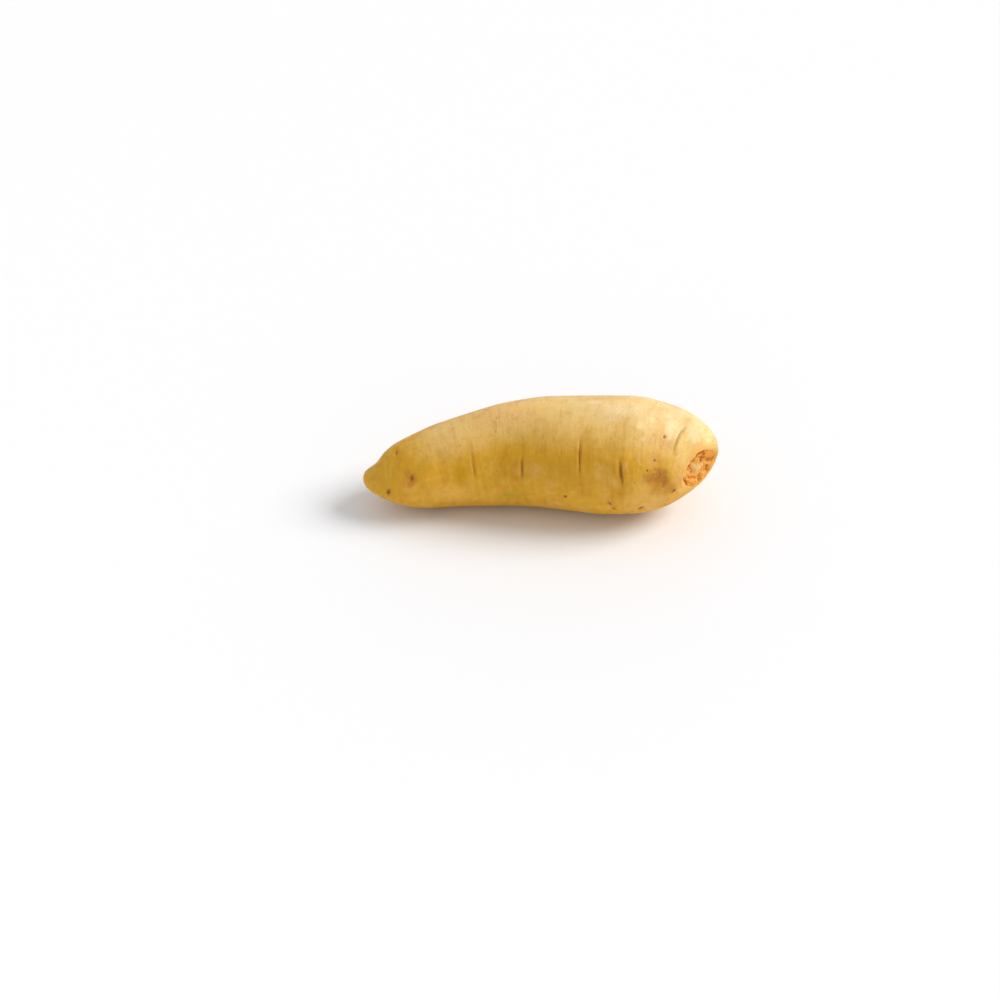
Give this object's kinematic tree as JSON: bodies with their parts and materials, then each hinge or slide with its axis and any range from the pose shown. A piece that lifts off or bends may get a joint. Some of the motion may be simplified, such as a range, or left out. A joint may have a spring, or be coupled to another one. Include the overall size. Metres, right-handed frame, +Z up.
{
  "type": "arracacha",
  "caption": "Whole arracacha lying on its side: a tapered, slightly bent pale yellow storage root with cross creases, a blunt tip and a torn crown scar.",
  "frame": {"origin": "on the surface that the root rests on, under the middle of its footprint", "axes": "+X along the root from its tip to its crown, +Y away from the side that shows its crown scar, +Z up"},
  "size_m": [0.1396, 0.0489, 0.0471],
  "materials": {
    "skin": "matt pale yellow root skin with a faint waxy sheen"
  },
  "bodies": {
    "root": {"arracacha_root": "skin"}
  },
  "joints": []
}
